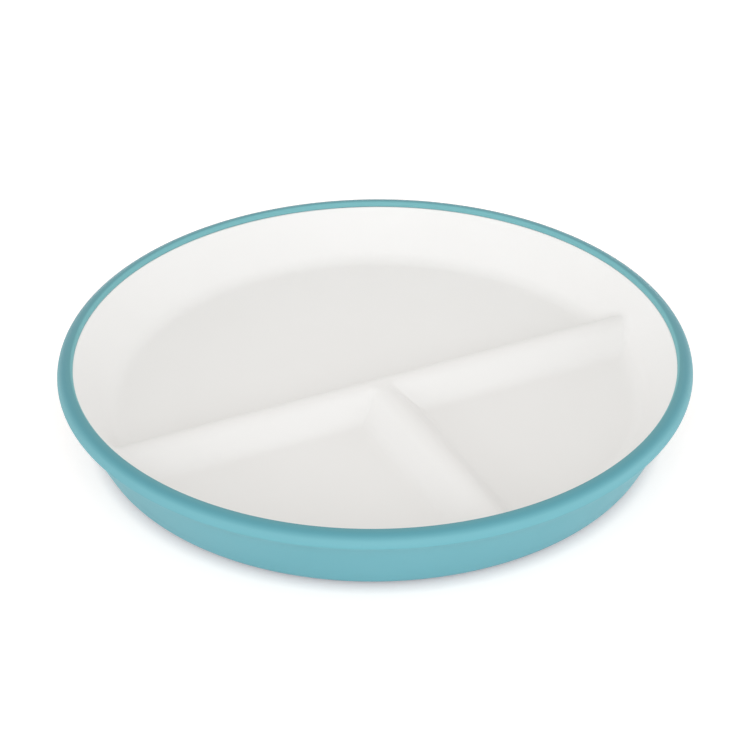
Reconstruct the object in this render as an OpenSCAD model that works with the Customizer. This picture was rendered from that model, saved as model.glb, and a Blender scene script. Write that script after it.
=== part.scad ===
// Round divided plate: a white dish with a T-shaped divider, nested in a coloured
// outer shell whose rim bead holds the dish's lip, standing on a soft ring.
// The table is z = 0, the plate's axis is Z, and the full-width ridge lies along X.

/* [Overall] */
// Diameter over the rim bead
plate_d = 210; // [200:1:240]
// Height from the table to the top of the rim
plate_h = 28.2; // [26:0.1:34]

/* [Dish] */
// Height of the eating floor above the table
floor_rise = 10.3; // [9:0.1:12]
// Slope of the flared wall, from the floor
wall_angle = 54; // [50:1:60]
// Radius between the floor and the flared wall
floor_fillet = 7; // [4:0.5:9]
// Thickness of the white moulding
plate_wall = 2; // [1.4:0.1:2.4]

/* [Divider] */
// Height of the ridges above the floor
divider_h = 7.6; // [6:0.1:8.5]
// Slope of a ridge's flanks, from the floor
divider_slope = 44; // [40:2:48]
// Radius of a ridge's crown
divider_crown_r = 6; // [3:0.5:7]
// Radius between a flank and the floor
divider_foot_r = 6; // [4:0.5:8]
// Radius between a ridge's crown and the flared wall
divider_end_r = 4; // [3:0.5:6]
// How far the full-width ridge lies off the middle, towards the half-length ridge
divider_shift = 3; // [0:0.5:5]

/* [Rim] */
// Width of the rim bead, from the seam to the outside
bead_w = 5.3; // [4.8:0.1:6]
// Radius of the bead's rolled outer edge
bead_round = 4.2; // [3:0.1:4.4]
// Height of the bead, from its crease to the top
bead_h = 5.8; // [5:0.1:7]
// How far the bead draws in at its crease
bead_tuck = 2.2; // [1.5:0.1:2.6]
// Depth of the seam with the white dish below the top of the rim
seam_drop = 2; // [1.6:0.1:2.4]
// Reach of the dish's lip under the bead
lip_w = 3; // [2.8:0.1:3.4]
// Thickness of the dish's lip
lip_t = 1.6; // [1.2:0.1:1.8]

/* [Shell] */
// Thickness of the shell's wall and base
shell_wall = 2.2; // [1.6:0.1:2.6]
// How far the base lies inside the rim, where the wall's line meets it
base_inset = 13; // [11:0.5:16]
// Radius between the wall and the base
base_fillet = 6; // [3:0.5:8]
// Depth of the hollow under the base
recess_depth = 1.4; // [1:0.1:2]
// Width of the rib inside the soft ring
rib_w = 2.4; // [1.6:0.1:4]

/* [Soft ring] */
// How far the soft ring's outside lies inside the base
ring_inset = 8; // [7:0.5:16]
// Width of the soft ring
ring_w = 5; // [3:0.1:8]
// How far the soft ring stands out below the shell
ring_proud = 0.6; // [0.3:0.1:1]
// Rounding of the soft ring's lower edges
ring_edge_r = 0.4; // [0.2:0.1:0.6]

/* [Fit] */
// Gap between nested pieces
fit_clear = 0.1; // [0.05:0.05:0.2]

/* [Hidden] */

// Outlines are drawn with points on this grid, so that neighbouring forms share their edges
grid = 0.001;
// Largest turn between neighbouring points of a round stretch
turn_step = 7.5;
// How far a form reaches into the one that it grows from
root = 1;
// How far a ridge's end arc dips into the flared wall, so that the two cross cleanly
end_dip = 0.5;

rim_r = plate_d / 2;
seam_r = rim_r - bead_w;
seam_z = plate_h - seam_drop;
floor_z = floor_rise;
lip_r = seam_r + lip_w;
lip_z = seam_z - lip_t;
slot_z = seam_z + fit_clear;
crease_r = rim_r - bead_tuck;
crease_z = plate_h - bead_h;
foot_z = ring_proud;
recess_z = foot_z + recess_depth;
base_r = rim_r - base_inset;
ring_r = base_r - ring_inset;

// Centre of the arc between floor and flared wall
fillet_c = [wall_r(floor_z, 0) - floor_fillet * tan(wall_angle / 2), floor_z + floor_fillet];
// Slope of the shell's wall, from the table
shell_angle = atan2(crease_z - foot_z, crease_r - base_r);
// Height and width that a ridge's two rounds take up together
rounds_r = divider_crown_r + divider_foot_r;
rounds_h = rounds_r * (1 - cos(divider_slope));
rounds_w = rounds_r * sin(divider_slope);
// Half the width of a ridge at the floor
ridge_w = snap(rounds_w + (divider_h - rounds_h) / tan(divider_slope));
// Height of the axis that a ridge's end turns up about, and its distance from the plate's axis
end_axis_z = floor_z + divider_h + divider_end_r;
end_axis_r = snap(wall_r(end_axis_z, 0) - (divider_end_r - end_dip) / sin(wall_angle));

function snap(v) = round(v / grid) * grid;
function snapped(points) = [for (p = points) [snap(p[0]), snap(p[1])]];

// Points of an elliptical arc about c, from angle a0 to angle a1
function arc(c, rx, ry, a0, a1) =
    let (n = max(2, ceil(abs(a1 - a0) / turn_step)))
    [for (i = [0 : n]) let (a = a0 + (a1 - a0) * i / n) [c[0] + rx * cos(a), c[1] + ry * sin(a)]];

// Radius of the flared wall's inner face at height z, moved out square to itself by off
function wall_r(z, off) = seam_r + (z - seam_z) / tan(wall_angle) + off / sin(wall_angle);

// Half a ridge's outline, from its crown to its foot, as [distance from the middle, height above
// the floor], moved in square to itself by off
function ridge_half(off) =
    let (crown = divider_crown_r - off, foot = divider_foot_r + off)
    snapped(concat(
        arc([0, divider_h - divider_crown_r], crown, crown, 90, 90 - divider_slope),
        arc([ridge_w, divider_foot_r], foot, foot, 270 - divider_slope, 270)));

// Both halves of a ridge's outline, closed below the floor
function ridge_full(off) =
    let (half = ridge_half(off))
    concat(
        half,
        [[ridge_w, -off - root], [-ridge_w, -off - root]],
        [for (i = [len(half) - 1 : -1 : 1]) [-half[i][0], half[i][1]]]);

// Everything below and outside the dish's upper surface, moved in square to that surface by off
module dish_form(off) {
    bottom = floor_z - plate_wall - 2 * root - off;
    top = seam_z + off;
    // Past the reach of the ridges' ends, at every height of the plate
    outside = rim_r + divider_h + divider_end_r + off;
    rotate_extrude() polygon(concat(
        [[0, bottom], [outside, bottom], [outside, top], [wall_r(top, off), top]],
        arc(fillet_c, floor_fillet + off, floor_fillet + off, wall_angle - 90, -90),
        [[0, floor_z - off]]));
    ridges(off);
}

// A ridge's outline run along X
module run(from, to) {
    translate([from, 0, floor_z]) rotate([90, 0, 90]) linear_extrude(to - from) children();
}

// The end of a ridge along X, turned up about a level axis until it meets the flared wall
module ridge_end(off) {
    axis_h = end_axis_z - floor_z;
    translate([end_axis_r, 0, end_axis_z]) rotate([90, 90, 0]) rotate_extrude(angle = wall_angle)
        polygon([for (p = ridge_full(off)) [axis_h - p[1], p[0]]]);
}

// The T of ridges: one along X over the dish's full width, and one from it towards -Y
module ridges(off) {
    translate([0, -divider_shift, 0]) {
        run(-end_axis_r, end_axis_r) polygon(ridge_full(off));
        for (side = [0, 1]) mirror([side, 0, 0]) ridge_end(off);
    }
    rotate([0, 0, -90]) {
        run(divider_shift, end_axis_r) polygon(ridge_full(off));
        ridge_end(off);
    }
}

// White dish of even thickness, with the lip that the shell's bead holds
module inner_plate() {
    lip_root_r = (seam_r + wall_r(lip_z, plate_wall)) / 2;
    color("white") union() {
        difference() {
            dish_form(0);
            dish_form(plate_wall);
        }
        rotate_extrude() translate([lip_root_r, lip_z]) square([lip_r - lip_root_r, lip_t]);
    }
}

// Radius of the shell wall's inner face at height z
function shell_in_r(z) = base_r + (z - foot_z) / tan(shell_angle) - shell_wall / sin(shell_angle);

// The rolled rim, from the crease over the top to the seam
function bead_outline() = concat(
    arc([crease_r, plate_h - bead_round], bead_tuck, bead_h - bead_round, -90, 0),
    arc([rim_r - bead_round, plate_h - bead_round], bead_round, bead_round, 0, 90),
    arc([rim_r - bead_round, slot_z], bead_w - bead_round, plate_h - slot_z, 90, 180));

// The underside, from the axis over the groove of the soft ring to the wall
function base_outline() =
    let (groove_in = ring_r - ring_w - fit_clear, groove_out = ring_r + fit_clear)
    concat(
        [[0, recess_z], [groove_in - rib_w, recess_z], [groove_in - rib_w, foot_z], [groove_in, foot_z]],
        [[groove_in, recess_z], [groove_out, recess_z], [groove_out, foot_z]],
        arc([base_r - base_fillet * tan(shell_angle / 2), foot_z + base_fillet],
            base_fillet, base_fillet, -90, shell_angle - 90));

// The inside, from below the seam down the wall and over the base to the axis
function inside_outline() =
    let (in_z = recess_z + shell_wall)
    concat(
        [[seam_r, crease_z], [shell_in_r(crease_z), crease_z]],
        arc([shell_in_r(in_z) - base_fillet * tan(shell_angle / 2), in_z + base_fillet],
            base_fillet, base_fillet, shell_angle - 90, -90),
        [[0, in_z]]);

// The room that the dish's wall and lip take up in the shell, with its clearance
function seat_outline() =
    let (off = plate_wall + fit_clear)
    [[fillet_c[0], floor_z], [wall_r(floor_z, off), floor_z], [wall_r(lip_z, off), lip_z],
     [lip_r + fit_clear, lip_z], [lip_r + fit_clear, slot_z], [fillet_c[0], slot_z]];

// Coloured shell: wall and base, with the rim bead that closes over the dish's lip
module outer_shell() {
    color([0.45, 0.71, 0.75]) rotate_extrude() difference() {
        polygon(concat(base_outline(), bead_outline(), inside_outline()));
        polygon(seat_outline());
    }
}

// Soft ring between the shell's foot and its inner rib, which the plate stands on
module non_slip_ring() {
    color([0.35, 0.62, 0.67]) rotate_extrude() polygon(concat(
        arc([ring_r - ring_w + ring_edge_r, ring_edge_r], ring_edge_r, ring_edge_r, 180, 270),
        arc([ring_r - ring_edge_r, ring_edge_r], ring_edge_r, ring_edge_r, 270, 360),
        [[ring_r, recess_z], [ring_r - ring_w, recess_z]]));
}

inner_plate();
outer_shell();
non_slip_ring();
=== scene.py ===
"""Divided plate: a white dish with a T of soft ridges, held in a turquoise shell on a soft ring.

The dish, the shell and the ring are turned from outlines on a lathe. The ridges are raised on the
dish's rings, and the shell's edges are eased. Outlines are in millimetres, meshes in metres.
"""

import logging
import math
from dataclasses import dataclass, field
from enum import Enum
from typing import Any, ClassVar, Mapping, Union

import bmesh
import bpy
from mathutils import Matrix, Vector


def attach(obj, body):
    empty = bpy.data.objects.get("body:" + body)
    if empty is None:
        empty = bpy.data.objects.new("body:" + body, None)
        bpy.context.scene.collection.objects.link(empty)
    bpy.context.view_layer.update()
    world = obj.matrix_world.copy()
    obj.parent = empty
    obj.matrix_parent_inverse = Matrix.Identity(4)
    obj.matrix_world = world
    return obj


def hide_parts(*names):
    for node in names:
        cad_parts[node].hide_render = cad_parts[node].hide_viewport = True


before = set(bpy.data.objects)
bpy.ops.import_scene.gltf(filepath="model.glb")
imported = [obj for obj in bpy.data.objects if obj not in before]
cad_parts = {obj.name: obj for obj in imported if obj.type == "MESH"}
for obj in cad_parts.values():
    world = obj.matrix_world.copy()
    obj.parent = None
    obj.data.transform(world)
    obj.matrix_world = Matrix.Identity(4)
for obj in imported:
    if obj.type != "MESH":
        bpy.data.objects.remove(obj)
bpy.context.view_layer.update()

LOG = logging.getLogger("divided_plate")
BODY = "root"
MM = 0.001
MERGE_GAP = 1e-7
NOISE_MEAN = 0.5
QUARTER = 90.0

Point = tuple[float, float]
Colour = tuple[float, float, float]
BLACK: Colour = (0.0, 0.0, 0.0)
WHITE: Colour = (1.0, 1.0, 1.0)


class Node(Enum):
    """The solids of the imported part."""

    DISH = "inner_plate"
    SHELL = "outer_shell"
    RING = "non_slip_ring"


class Slot(Enum):
    """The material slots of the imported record."""

    DISH = "dish_white"
    SHELL = "shell_turquoise"
    RING = "soft_ring"


class Tap:
    """A shader socket that takes part in arithmetic."""

    def __init__(self, bench: "Bench", socket: bpy.types.NodeSocket) -> None:
        """Keep the socket and the bench that its nodes stand on."""
        self.bench = bench
        self.socket = socket

    def _math(self, operation: str, first: "Value", second: "Value") -> "Tap":
        """Add one Math node.

        Args:
            operation: The Math node's operation.
            first: The upper value.
            second: The lower value.

        Returns:
            The node's result.
        """
        return self.bench.add("Math", {"operation": operation}, {0: first, 1: second})

    def __add__(self, other: "Value") -> "Tap":
        """Sum of the socket and a value."""
        return self._math("ADD", self, other)

    def __radd__(self, other: "Value") -> "Tap":
        """Sum of a value and the socket."""
        return self._math("ADD", other, self)

    def __sub__(self, other: "Value") -> "Tap":
        """The socket less a value."""
        return self._math("SUBTRACT", self, other)

    def __rsub__(self, other: "Value") -> "Tap":
        """A value less the socket."""
        return self._math("SUBTRACT", other, self)

    def __mul__(self, other: "Value") -> "Tap":
        """Product of the socket and a value."""
        return self._math("MULTIPLY", self, other)

    def __rmul__(self, other: "Value") -> "Tap":
        """Product of a value and the socket."""
        return self._math("MULTIPLY", other, self)


Value = Union[float, Colour, tuple[float, float, float, float], Tap]


class Bench:
    """The node tree of one material or of the world.

    A Mix node's sockets share their names, so its colour sockets go by their places.
    """

    MIX_SHARE = 0
    MIX_FIRST = 6
    MIX_SECOND = 7
    MIX_RESULT = 2

    def __init__(self, tree: bpy.types.NodeTree) -> None:
        """Clear the tree."""
        self.tree = tree
        tree.nodes.clear()

    def add(
        self,
        kind: str,
        settings: Mapping[str, Any] | None = None,
        sockets: Mapping[str | int, Value] | None = None,
        out: str | int = 0,
    ) -> Tap:
        """Add a shader node, its settings first, then its sockets.

        Args:
            kind: The node's type without the ShaderNode prefix.
            settings: Values of the node's own properties.
            sockets: Values or links of its inputs, by name or place.
            out: The output that is handed back.

        Returns:
            That output.
        """
        node = self.tree.nodes.new("ShaderNode" + kind)
        for name, value in (settings or {}).items():
            setattr(node, name, value)
        for name, value in (sockets or {}).items():
            if isinstance(value, Tap):
                self.tree.links.new(value.socket, node.inputs[name])
            else:
                node.inputs[name].default_value = value
        if not node.outputs:
            return Tap(self, node.inputs[0])
        return Tap(self, node.outputs[out])

    def noise(self, grain: float, detail: float = 2.0, roughness: float = 0.5) -> Tap:
        """Noise fixed to the piece.

        Args:
            grain: Size of the noise's features, in millimetres.
            detail: Number of finer layers.
            roughness: Share of each finer layer.

        Returns:
            A value about NOISE_MEAN.
        """
        place = self.add("TexCoord", out="Object")
        sockets = {"Vector": place, "Scale": 1.0 / (grain * MM)}
        sockets |= {"Detail": detail, "Roughness": roughness}
        return self.add("TexNoise", None, sockets, "Fac")

    def blend(self, share: Value, first: Value, second: Value) -> Tap:
        """Mix two colours.

        Args:
            share: The second colour's share.
            first: The colour at 0.
            second: The colour at 1.

        Returns:
            The mixed colour.
        """
        settings = {"data_type": "RGBA", "clamp_factor": True}
        sockets = {self.MIX_SHARE: share, self.MIX_FIRST: first, self.MIX_SECOND: second}
        return self.add("Mix", settings, sockets, self.MIX_RESULT)

    def seen(self) -> Tap:
        """One for the rays that show the studio itself, straight, mirrored or through glass."""
        rays = ("Is Camera Ray", "Is Glossy Ray", "Is Transmission Ray")
        straight, mirrored, through = (self.add("LightPath", out=ray) for ray in rays)
        return straight + mirrored + through

    def bump(self, height: Tap, depth: float, under: Tap | None = None) -> Tap:
        """Turn a height into a normal.

        Args:
            height: The height, from 0 to 1.
            depth: The relief's depth, in millimetres.
            under: A normal that lies below the relief.

        Returns:
            The normal.
        """
        sockets: dict[str | int, Value] = {"Height": height, "Distance": depth * MM}
        if under is not None:
            sockets["Normal"] = under
        return self.add("Bump", None, sockets)


def opaque(colour: Colour) -> tuple[float, float, float, float]:
    """The colour with full cover."""
    return (*colour, 1.0)


@dataclass(frozen=True)
class PaintedShadingBand:
    """A ring of a piece whose tone is painted light or painted shade, smoother by its polish.

    It sets in from the first to the second height and radius, in millimetres.
    """

    heights: Point
    radii: Point
    tone: Colour
    polish: float

    LEVEL: ClassVar[Colour] = (1.0, 1.0, 0.0)

    def share(self, bench: Bench) -> Tap:
        """The band's share, from 0 off it to 1 on it.

        Args:
            bench: The material's bench.

        Returns:
            The share.
        """
        place = bench.add("TexCoord", out="Object")
        height = bench.add("SeparateXYZ", None, {0: place}, "Z")
        level = bench.add("VectorMath", {"operation": "MULTIPLY"}, {0: place, 1: self.LEVEL})
        radius = bench.add("VectorMath", {"operation": "LENGTH"}, {0: level}, "Value")
        return self.ramp(bench, height, self.heights) * self.ramp(bench, radius, self.radii)

    @staticmethod
    def ramp(bench: Bench, value: Tap, span: Point) -> Tap:
        """A value's rise from 0 at a span's start to 1 at its end."""
        ends = {"From Min": span[0] * MM, "From Max": span[1] * MM}
        return bench.add("MapRange", {"clamp": True}, {"Value": value} | ends)


@dataclass(frozen=True)
class MouldedFinish:
    """A moulded plastic: two close tones, a fine skin grain, slow waves of the surface and rings
    of painted light and shade.

    The sizes and depths of grain, waves and mottle are in millimetres.
    """

    name: str
    tone: Colour
    shade: Colour
    gloss: float
    gloss_spread: float
    grain: float
    grain_depth: float
    wave: float
    wave_depth: float
    mottle: float = 26.0
    mottle_detail: float = 3.0
    grain_roughness: float = 0.6
    wave_detail: float = 1.0
    specular: float = 0.5
    painted_shading_bands: tuple[PaintedShadingBand, ...] = ()

    def material(self) -> bpy.types.Material:
        """Build the material.

        Returns:
            The new material.
        """
        made = bpy.data.materials.new(self.name)
        made.use_nodes = True
        bench = Bench(made.node_tree)
        mottle = bench.noise(self.mottle, self.mottle_detail)
        grain = bench.noise(self.grain, roughness=self.grain_roughness)
        waves = bench.bump(bench.noise(self.wave, self.wave_detail), self.wave_depth)
        skin = bench.bump(grain, self.grain_depth, waves)
        tint = bench.blend(mottle, opaque(self.tone), opaque(self.shade))
        rough = self.gloss + (grain - NOISE_MEAN) * self.gloss_spread
        rough = rough + (mottle - NOISE_MEAN) * self.gloss_spread
        # Each band blends its tone of painted light or painted shade into the colour, and lowers
        # the roughness by its polish.
        for band in self.painted_shading_bands:
            share = band.share(bench)
            tint = bench.blend(share, tint, opaque(band.tone))
            rough = rough - share * band.polish
        sockets = {"Base Color": tint, "Roughness": rough, "Normal": skin}
        sockets |= {"Specular IOR Level": self.specular}
        shader = bench.add("BsdfPrincipled", None, sockets)
        bench.add("OutputMaterial", None, {"Surface": shader})
        return made


@dataclass(frozen=True)
class FloorFinish:
    """A matt white studio floor that shows white, with a painted contact shadow by the plate.

    The lifts are what the camera sees added to the light: the first in the open, the second
    where the plate stands within the contact distance. Lengths in millimetres.
    """

    name: str = "studio_floor"
    tone: Colour = (0.82, 0.82, 0.82)
    shade: Colour = (0.8, 0.8, 0.8)
    lift: Colour = (0.52, 0.44, 0.42)
    contact_shadow_lift: Colour = (0.19, 0.14, 0.15)
    contact: float = 4.5
    contact_samples: int = 16
    mottle: float = 180.0
    roughness: float = 0.9

    def material(self) -> bpy.types.Material:
        """Build the material.

        Returns:
            The new material.
        """
        made = bpy.data.materials.new(self.name)
        made.use_nodes = True
        bench = Bench(made.node_tree)
        tint = bench.blend(bench.noise(self.mottle), opaque(self.tone), opaque(self.shade))
        # Painted shadow: occlusion near the plate darkens the glow that the camera sees on the
        # floor.
        reach = {"Distance": self.contact * MM}
        samples = {"samples": self.contact_samples}
        open_sky = bench.add("AmbientOcclusion", samples, reach, "AO")
        lift = bench.blend(open_sky, opaque(self.contact_shadow_lift), opaque(self.lift))
        glow = bench.blend(bench.seen(), opaque(BLACK), lift)
        sockets = {"Base Color": tint, "Roughness": self.roughness, "Specular IOR Level": 0.0}
        sockets |= {"Emission Color": glow, "Emission Strength": 1.0}
        shader = bench.add("BsdfPrincipled", None, sockets)
        bench.add("OutputMaterial", None, {"Surface": shader})
        return made


WHITE_DISH = MouldedFinish(
    name="white_satin",
    tone=(0.89, 0.882, 0.875),
    shade=(0.87, 0.86, 0.85),
    gloss=0.42,
    gloss_spread=0.06,
    grain=0.5,
    grain_depth=0.004,
    wave=40.0,
    wave_depth=0.05,
)
# Painted shade: the bead's top faces up and gets less light, so it is painted a darker turquoise;
# its polish also makes it smoother.
PAINTED_SHADE_RIM_TOP = PaintedShadingBand(
    heights=(26.1, 27.5),
    radii=(100.6, 102.5),
    tone=(0.09, 0.284, 0.332),
    polish=0.1,
)
# Painted light: the bead's inner flank by the seam faces the camera and the front lamps, so it is
# painted a lighter turquoise.
PAINTED_LIGHT_INNER_FLANK = PaintedShadingBand(
    heights=(25.9, 26.2),
    radii=(100.7, 100.2),
    tone=(0.18, 0.452, 0.487),
    polish=0.0,
)
TURQUOISE_SHELL = MouldedFinish(
    name="turquoise_matt",
    tone=(0.134, 0.355, 0.399),
    shade=(0.126, 0.34, 0.383),
    gloss=0.5,
    gloss_spread=0.1,
    grain=0.45,
    grain_depth=0.012,
    wave=30.0,
    wave_depth=0.04,
    specular=0.25,
    painted_shading_bands=(PAINTED_SHADE_RIM_TOP, PAINTED_LIGHT_INNER_FLANK),
)
SOFT_RING = MouldedFinish(
    name="soft_elastomer",
    tone=(0.1, 0.28, 0.325),
    shade=(0.085, 0.25, 0.295),
    gloss=0.75,
    gloss_spread=0.1,
    grain=0.3,
    grain_depth=0.02,
    wave=15.0,
    wave_depth=0.03,
    specular=0.25,
)


class Pen:
    """Draws a lathe outline in the XZ plane, stroke by stroke.

    An arc turns by no more than ARC_STEP degrees from point to point.
    """

    ARC_STEP = 6.0

    def __init__(self, mesh: bmesh.types.BMesh, start: Point) -> None:
        """Set the pen down at a start point."""
        self.mesh = mesh
        self.tip = self.first = mesh.verts.new((start[0] * MM, 0.0, start[1] * MM))

    def line(self, *corners: Point) -> "Pen":
        """Draw straight strokes.

        Args:
            corners: The points to go through, in millimetres.

        Returns:
            The pen.
        """
        for r, z in corners:
            made = bmesh.ops.extrude_vert_indiv(self.mesh, verts=[self.tip])
            self.tip = made["verts"][0]
            self.tip.co = (r * MM, 0.0, z * MM)
        return self

    def arc(self, centre: Point, turn: float, stretch: float = 1.0) -> "Pen":
        """Sweep a round stroke from the pen's place.

        Args:
            centre: The centre to turn about, in millimetres.
            turn: The angle, in degrees, positive from +X towards +Z.
            stretch: Widening along X about the centre, which makes it an ellipse.

        Returns:
            The pen.
        """
        hub = Vector((centre[0] * MM, 0.0, centre[1] * MM))
        before = set(self.mesh.verts)
        steps = max(2, math.ceil(abs(turn) / self.ARC_STEP))
        swept = bmesh.ops.spin(
            self.mesh,
            geom=[self.tip],
            cent=hub,
            axis=(0.0, -1.0, 0.0),
            angle=math.radians(turn),
            steps=steps,
            use_merge=False,
        )
        self.tip = swept["geom_last"][0]
        new = [v for v in self.mesh.verts if v not in before]
        around = Matrix.Translation(-hub)
        bmesh.ops.scale(self.mesh, vec=(stretch, 1.0, 1.0), space=around, verts=new)
        return self

    def close(self) -> None:
        """Join the outline's end to its start."""
        self.mesh.edges.new((self.tip, self.first))


class Lathe:
    """Turns an outline about the plate's axis and makes it an object.

    An edge whose faces meet at more than SHARP is a sharp one.
    """

    SHARP = math.radians(40.0)

    def __init__(self, steps: int) -> None:
        """Start with an empty mesh and a number of steps round the axis."""
        self.mesh = bmesh.new()
        self.steps = steps

    def split(self, gap: float) -> None:
        """Cut the outline's long strokes so that no ring is wider than a gap in millimetres."""
        for edge in self.mesh.edges[:]:
            cuts = math.ceil(edge.calc_length() / (gap * MM)) - 1
            if cuts > 0:
                bmesh.ops.subdivide_edges(self.mesh, edges=[edge], cuts=cuts)

    def turn(self) -> None:
        """Spin the outline once round, close its seam and poles, and face it outwards."""
        bmesh.ops.spin(
            self.mesh,
            geom=self.mesh.verts[:] + self.mesh.edges[:],
            cent=(0.0, 0.0, 0.0),
            axis=(0.0, 0.0, 1.0),
            angle=math.tau,
            steps=self.steps,
            use_merge=True,
        )
        bmesh.ops.remove_doubles(self.mesh, verts=self.mesh.verts[:], dist=MERGE_GAP)
        bmesh.ops.recalc_face_normals(self.mesh, faces=self.mesh.faces[:])

    def ease(self, width: float, segments: int = 2) -> None:
        """Round every sharp edge.

        Args:
            width: The round's width, in millimetres.
            segments: Faces across it.
        """
        sharp = [e for e in self.mesh.edges if e.calc_face_angle(0.0) > self.SHARP]
        bmesh.ops.bevel(
            self.mesh,
            geom=sharp,
            offset=width * MM,
            offset_type="OFFSET",
            affect="EDGES",
            segments=segments,
            profile=0.5,
            material=-1,
        )

    def finish(self, name: str) -> bpy.types.Object:
        """Make the object, shaded smooth with its sharp edges kept.

        Args:
            name: The piece's name.

        Returns:
            The new object.
        """
        data = bpy.data.meshes.new(name)
        for face in self.mesh.faces:
            face.smooth = True
        self.mesh.to_mesh(data)
        self.mesh.free()
        data.set_sharp_from_angle(angle=self.SHARP)
        made = bpy.data.objects.new(name, data)
        bpy.context.scene.collection.objects.link(made)
        return made


def dress(piece: bpy.types.Object, finish: MouldedFinish, node: Node) -> None:
    """Give a piece its finish and its place in the part.

    Args:
        piece: The piece.
        finish: Its finish.
        node: The solid that it stands for.
    """
    piece.data.materials.append(finish.material())
    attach(piece, BODY)
    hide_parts(node.value)
    LOG.info("%s: %d faces", piece.name, len(piece.data.polygons))


def soft_top(first: float, second: float, power: float) -> float:
    """The upper of two heights, rounded where they cross.

    Args:
        first: A height of 0 or more.
        second: A height of 0 or more.
        power: How sharp the crossing stays.

    Returns:
        The height.
    """
    return (first**power + second**power) ** (1 / power)


@dataclass(frozen=True)
class Rim:
    """Sizes that the dish and the shell share where they meet, in millimetres."""

    plate_d: float = 210.0
    plate_h: float = 28.2
    wall_angle: float = 54.0
    plate_wall: float = 2.0
    bead_w: float = 5.3
    bead_round: float = 4.2
    bead_h: float = 5.8
    bead_tuck: float = 2.2
    seam_drop: float = 2.0
    lip_w: float = 3.0
    lip_t: float = 1.6
    fit_clear: float = 0.1

    @property
    def rim_r(self) -> float:
        """Radius of the rim."""
        return self.plate_d / 2

    @property
    def seam(self) -> Point:
        """The dish's upper edge, where the shell's bead begins."""
        return self.rim_r - self.bead_w, self.plate_h - self.seam_drop

    @property
    def crease(self) -> Point:
        """The crease under the bead."""
        return self.rim_r - self.bead_tuck, self.plate_h - self.bead_h

    @property
    def lip_r(self) -> float:
        """Radius of the dish's lip."""
        return self.seam[0] + self.lip_w

    def wall_r(self, z: float, off: float = 0.0) -> float:
        """Radius of the dish's flared wall.

        Args:
            z: Height above the table.
            off: How far the face lies outside the wall's inner face.

        Returns:
            The radius, in millimetres.
        """
        slope = math.radians(self.wall_angle)
        return self.seam[0] + (z - self.seam[1]) / math.tan(slope) + off / math.sin(slope)


@dataclass
class Dish:
    """The white dish: floor, flared wall, lip and the T of ridges. Lengths in millimetres."""

    rim: Rim
    floor_z: float = 10.3
    floor_fillet: float = 7.0
    ridge_h: float = 7.6
    ridge_slope: float = 44.0
    ridge_shift: float = 3.0
    crown_r: float = 6.0
    foot_r: float = 6.0
    valley_blend: float = 7.0
    end_blend: float = 9.0
    ring_gap: float = 1.0
    steps: int = 320
    finish: MouldedFinish = field(default=WHITE_DISH)

    def __post_init__(self) -> None:
        """Work out half the ridge's width at the floor."""
        slope = math.radians(self.ridge_slope)
        rounds = self.crown_r + self.foot_r
        flank = self.ridge_h - rounds * (1 - math.cos(slope))
        self.half_w = rounds * math.sin(slope) + flank / math.tan(slope)

    def ridge(self, across: float) -> float:
        """Height of a ridge above the floor.

        Args:
            across: Distance from its middle line.

        Returns:
            The height, in millimetres.
        """
        slope = math.radians(self.ridge_slope)
        inward = self.half_w - across
        if across < self.crown_r * math.sin(slope):
            return self.ridge_h - self.crown_r + math.sqrt(self.crown_r**2 - across**2)
        if inward <= 0:
            return 0.0
        if inward < self.foot_r * math.sin(slope):
            return self.foot_r - math.sqrt(self.foot_r**2 - inward**2)
        start = self.foot_r * math.sin(slope)
        return self.foot_r * (1 - math.cos(slope)) + (inward - start) * math.tan(slope)

    def relief(self, x: float, y: float) -> float:
        """Height of the T above the floor, its two ridges run softly into each other.

        Args:
            x: Place along the full-width ridge.
            y: Place across it; the half-length ridge is on the negative side.

        Returns:
            The height, in millimetres.
        """
        across = y + self.ridge_shift
        full = self.ridge(abs(across))
        if across >= 0:
            return full
        return min(self.ridge_h, soft_top(full, self.ridge(abs(x)), self.valley_blend))

    def raise_ridges(self, mesh: bmesh.types.BMesh) -> None:
        """Lift the dish's rings where the ridges run, and blend them into the wall."""
        for vert in mesh.verts:
            x, y, z = (c / MM for c in vert.co)
            ridge = self.relief(x, y)
            if ridge > 0:
                wall = max(0.0, z - self.floor_z)
                vert.co.z = (self.floor_z + soft_top(wall, ridge, self.end_blend)) * MM

    def build(self) -> bpy.types.Object:
        """Turn the dish, raise its ridges and give it its thickness.

        Returns:
            The dish.
        """
        rim, turned = self.rim, math.radians(self.rim.wall_angle)
        lathe = Lathe(self.steps)
        start = rim.wall_r(self.floor_z) - self.floor_fillet * math.tan(turned / 2)
        pen = Pen(lathe.mesh, (0.0, self.floor_z)).line((start, self.floor_z))
        pen.arc((start, self.floor_z + self.floor_fillet), rim.wall_angle)
        pen.line(rim.seam, (rim.lip_r, rim.seam[1]))
        lathe.split(self.ring_gap)
        lathe.turn()
        if sum(f.normal.z for f in lathe.mesh.faces) < 0:
            bmesh.ops.reverse_faces(lathe.mesh, faces=lathe.mesh.faces[:])
        self.raise_ridges(lathe.mesh)
        dish = lathe.finish("white_dish")
        self.thicken(dish)
        return dish

    def thicken(self, dish: bpy.types.Object) -> None:
        """Give the skin an even wall, thinner along the lip."""
        body = dish.vertex_groups.new(name="body")
        edge = (self.rim.seam[0] + self.rim.fit_clear) * MM
        body.add([v.index for v in dish.data.vertices if v.co.xy.length < edge], 1.0, "REPLACE")
        wall = dish.modifiers.new("wall", "SOLIDIFY")
        wall.thickness = self.rim.plate_wall * MM
        wall.offset = -1.0
        wall.use_even_offset = True
        wall.vertex_group = body.name
        wall.thickness_vertex_group = self.rim.lip_t / self.rim.plate_wall

    def dress(self, dish: bpy.types.Object) -> None:
        """Give the dish its finish and its place."""
        dress(dish, self.finish, Node.DISH)


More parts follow.
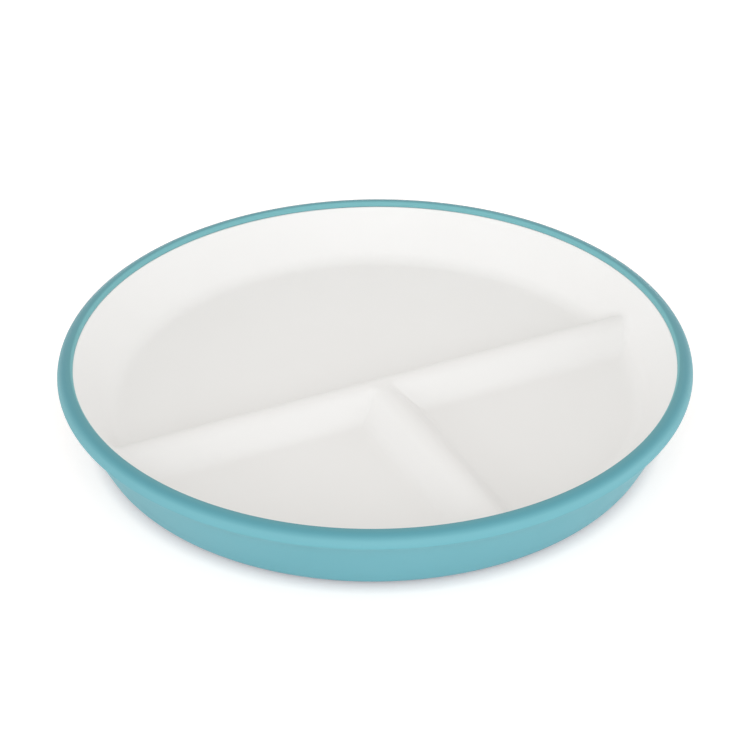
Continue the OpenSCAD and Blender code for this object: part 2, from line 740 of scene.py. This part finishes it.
@dataclass
class Shell:
    """The turquoise shell: foot, base, wall and the bead over the lip. Lengths in millimetres."""

    rim: Rim
    shell_wall: float = 2.2
    base_inset: float = 13.0
    base_fillet: float = 6.0
    foot_z: float = 0.6
    recess_depth: float = 1.4
    rib_w: float = 2.4
    ring_inset: float = 8.0
    ring_w: float = 5.0
    edge_round: float = 0.25
    ring_gap: float = 6.0
    steps: int = 256
    finish: MouldedFinish = field(default=TURQUOISE_SHELL)

    def __post_init__(self) -> None:
        """Work out the base's radius, the wall's slope and the soft ring's groove."""
        crease_r, crease_z = self.rim.crease
        self.base_r = self.rim.rim_r - self.base_inset
        self.slope = math.degrees(math.atan2(crease_z - self.foot_z, crease_r - self.base_r))
        self.recess_z = self.foot_z + self.recess_depth
        self.ring_r = self.base_r - self.ring_inset
        self.groove = (
            self.ring_r - self.ring_w - self.rim.fit_clear,
            self.ring_r + self.rim.fit_clear,
        )

    def inner_r(self, z: float) -> float:
        """Radius of the wall's inner face at a height."""
        slope = math.radians(self.slope)
        outer = self.base_r + (z - self.foot_z) / math.tan(slope)
        return outer - self.shell_wall / math.sin(slope)

    def draw_base(self, pen: Pen) -> None:
        """Draw the underside, from the recess over the groove to the wall's foot."""
        rib = self.groove[0] - self.rib_w
        low, high = self.foot_z, self.recess_z
        pen.line((rib, high), (rib, low), (self.groove[0], low), (self.groove[0], high))
        start = self.base_r - self.base_fillet * math.tan(math.radians(self.slope / 2))
        pen.line((self.groove[1], high), (self.groove[1], low), (start, low))
        pen.arc((start, low + self.base_fillet), self.slope)

    def draw_bead(self, pen: Pen) -> None:
        """Draw the wall, the crease and the bead over to the seam."""
        rim = self.rim
        rise = rim.bead_h - rim.bead_round
        pen.line(rim.crease)
        pen.arc((rim.crease[0], rim.plate_h - rim.bead_round), QUARTER, rim.bead_tuck / rise)
        top_r, slot_z = rim.rim_r - rim.bead_round, rim.seam[1] + rim.fit_clear
        pen.arc((top_r, rim.plate_h - rim.bead_round), QUARTER)
        pen.arc((top_r, slot_z), QUARTER, (top_r - rim.seam[0]) / (rim.plate_h - slot_z))

    def draw_inside(self, pen: Pen) -> None:
        """Draw the slot of the lip, the seat of the dish and the inside down to the axis."""
        rim = self.rim
        seam_r, seam_z = rim.seam
        off, slot_r = rim.plate_wall + rim.fit_clear, rim.lip_r + rim.fit_clear
        slot_z, lip_z, low = seam_z + rim.fit_clear, seam_z - rim.lip_t, rim.crease[1]
        slope = math.radians(rim.wall_angle)
        seat_z = seam_z - off / math.cos(slope)
        pen.line((slot_r, slot_z), (slot_r, lip_z), (rim.wall_r(lip_z, off), lip_z))
        pen.line((seam_r, seat_z), (seam_r, low), (self.inner_r(low), low))
        floor = self.recess_z + self.shell_wall
        hub_r = self.inner_r(floor) - self.base_fillet * math.tan(math.radians(self.slope / 2))
        turn = math.radians(self.slope)
        start_r = hub_r + self.base_fillet * math.sin(turn)
        pen.line((start_r, floor + self.base_fillet * (1 - math.cos(turn))))
        pen.arc((hub_r, floor + self.base_fillet), -self.slope)
        pen.line((0.0, floor))

    def build(self) -> bpy.types.Object:
        """Turn the shell and ease its edges.

        Returns:
            The shell.
        """
        lathe = Lathe(self.steps)
        pen = Pen(lathe.mesh, (0.0, self.recess_z))
        self.draw_base(pen)
        self.draw_bead(pen)
        self.draw_inside(pen)
        lathe.split(self.ring_gap)
        lathe.turn()
        lathe.ease(self.edge_round)
        return lathe.finish("turquoise_shell")

    def dress(self, shell: bpy.types.Object) -> None:
        """Give the shell its finish and its place."""
        dress(shell, self.finish, Node.SHELL)


@dataclass
class SoftRing:
    """The soft ring between the shell's foot and rib. Lengths in millimetres."""

    outer_r: float
    width: float
    height: float
    edge_r: float = 0.4
    steps: int = 256
    finish: MouldedFinish = field(default=SOFT_RING)

    def build(self) -> bpy.types.Object:
        """Turn the ring.

        Returns:
            The ring.
        """
        lathe = Lathe(self.steps)
        inner_r, edge = self.outer_r - self.width, self.edge_r
        pen = Pen(lathe.mesh, (inner_r, self.height)).line((inner_r, edge))
        pen.arc((inner_r + edge, edge), QUARTER)
        pen.line((self.outer_r - edge, 0.0))
        pen.arc((self.outer_r - edge, edge), QUARTER)
        pen.line((self.outer_r, self.height)).close()
        lathe.turn()
        return lathe.finish("soft_foot_ring")

    def dress(self, ring: bpy.types.Object) -> None:
        """Give the ring its finish and its place."""
        dress(ring, self.finish, Node.RING)


@dataclass(frozen=True)
class Lamp:
    """A soft light that faces the plate. The turn is from the camera's side, to its right.

    Angles are in degrees, power is in watts and lengths are in metres.
    """

    name: str
    turn: float
    elevation: float
    power: float
    distance: float = 2.2
    width: float = 1.2
    height: float = 1.2
    colour: Colour = (0.95, 0.99, 1.04)

    def place(self, view_azimuth: float) -> None:
        """Put the lamp up.

        Args:
            view_azimuth: The camera's azimuth, in degrees.
        """
        light = bpy.data.lights.new(self.name, "AREA")
        light.shape = "RECTANGLE"
        light.size = self.width
        light.size_y = self.height
        light.energy = self.power
        light.color = self.colour
        lamp = bpy.data.objects.new(self.name, light)
        turn, rise = math.radians(view_azimuth + self.turn), math.radians(self.elevation)
        level = math.cos(rise)
        back = Vector((math.sin(turn) * level, -math.cos(turn) * level, math.sin(rise)))
        lamp.location = back * self.distance
        lamp.rotation_euler = back.to_track_quat("Z", "Y").to_euler()
        bpy.context.scene.collection.objects.link(lamp)


def strip(name: str, turn: float, power: float) -> Lamp:
    """A long lamp that stays lower than the rim, so that it lights only the outside.

    Args:
        name: The lamp's name.
        turn: Its angle from the camera's side, to the right, in degrees.
        power: Its power, in watts.

    Returns:
        The lamp.
    """
    size = {"distance": 1.6, "width": 1.4, "height": 0.026}
    return Lamp(name, turn, elevation=0.47, power=power, **size)


@dataclass
class Studio:
    """Floor, daylight, lamps and the camera.

    Angles are in degrees and lengths in metres, apart from those that are named as pixels and
    the view's centre, which is in pixels too.
    """

    view_azimuth: float = -25.15
    view_elevation: float = 33.67
    view_distance: float = 1.0071
    view_height: float = 0.0006
    view_roll: float = -0.462
    view_centre: Point = (0.06, 45.4)
    image_px: float = 750.0
    focal_px: float = 3000.0
    floor_side: float = 12.0
    floor_cells: int = 8
    daylight: float = 0.793
    daylight_tint: Colour = (1.0, 0.985, 0.955)
    lamps: tuple[Lamp, ...] = (
        Lamp("front_softbox", 0.0, 30.0, 7.7),
        Lamp("right_softbox", 45.0, 8.0, 6.9),
        Lamp("left_softbox", -45.0, 8.0, 9.1),
        Lamp("right_side_softbox", 90.0, 8.0, 4.2),
        Lamp("left_side_softbox", -90.0, 8.0, 4.4),
        strip("front_strip", 0.0, 8.3),
        strip("right_strip", 80.0, 5.8),
        strip("left_strip", -80.0, 2.5),
        strip("back_strip", 180.0, 2.2),
    )
    finish: FloorFinish = field(default=FloorFinish())

    def lay_floor(self) -> None:
        """Lay the floor that the plate stands on."""
        mesh = bmesh.new()
        cells = {"x_segments": self.floor_cells, "y_segments": self.floor_cells}
        bmesh.ops.create_grid(mesh, size=self.floor_side / 2, **cells)
        data = bpy.data.meshes.new("studio_floor")
        mesh.to_mesh(data)
        mesh.free()
        data.materials.append(self.finish.material())
        floor = bpy.data.objects.new("studio_floor", data)
        bpy.context.scene.collection.objects.link(floor)

    def hang_daylight(self) -> None:
        """Fill the room with even light that shows white behind the plate."""
        world = bpy.data.worlds.new("studio")
        world.use_nodes = True
        bpy.context.scene.world = world
        bench = Bench(world.node_tree)
        day = {"Color": opaque(self.daylight_tint), "Strength": self.daylight}
        light = bench.add("Background", None, day)
        white = {"Color": opaque(WHITE), "Strength": 1.0}
        backdrop = bench.add("Background", None, white)
        sky = bench.add("MixShader", None, {0: bench.seen(), 1: light, 2: backdrop})
        bench.add("OutputWorld", None, {"Surface": sky})

    def stand_camera(self) -> None:
        """Stand the camera where the photograph was taken from."""
        turn, rise = math.radians(self.view_azimuth), math.radians(self.view_elevation)
        level = math.cos(rise)
        ahead = Vector((-math.sin(turn) * level, math.cos(turn) * level, -math.sin(rise)))
        right = Vector((math.cos(turn), math.sin(turn), 0.0))
        place = Vector((0.0, 0.0, self.view_height)) - ahead * self.view_distance
        pan, tilt = (math.atan(c / self.focal_px) for c in self.view_centre)
        roll = math.radians(self.view_roll)
        up = right.cross(ahead)
        side = math.cos(pan) * right + math.sin(pan) * ahead
        ahead = math.cos(pan) * ahead - math.sin(pan) * right
        top = math.cos(tilt) * up - math.sin(tilt) * ahead
        ahead = math.cos(tilt) * ahead + math.sin(tilt) * up
        across = math.cos(roll) * side + math.sin(roll) * top
        upright = math.cos(roll) * top - math.sin(roll) * side
        data = bpy.data.cameras.new("photo_view")
        data.lens = data.sensor_width * self.focal_px / self.image_px
        camera = bpy.data.objects.new("photo_view", data)
        bpy.context.scene.collection.objects.link(camera)
        axes = Matrix((across, upright, -ahead)).transposed().to_4x4()
        camera.matrix_world = Matrix.Translation(place) @ axes
        bpy.context.scene.camera = camera

    def build(self) -> None:
        """Set the whole studio up."""
        self.stand_camera()
        self.lay_floor()
        self.hang_daylight()
        for lamp in self.lamps:
            lamp.place(self.view_azimuth)
        bpy.context.scene.view_settings.view_transform = "Standard"


def main() -> None:
    """Build the studio and the plate's pieces in order."""
    logging.basicConfig(level=logging.INFO, format="%(name)s: %(message)s")
    Studio().build()
    rim = Rim()
    dish = Dish(rim)
    dish.dress(dish.build())
    shell = Shell(rim)
    shell.dress(shell.build())
    ring = SoftRing(shell.ring_r, shell.ring_w, shell.recess_z)
    ring.dress(ring.build())


if __name__ == "__main__":
    main()
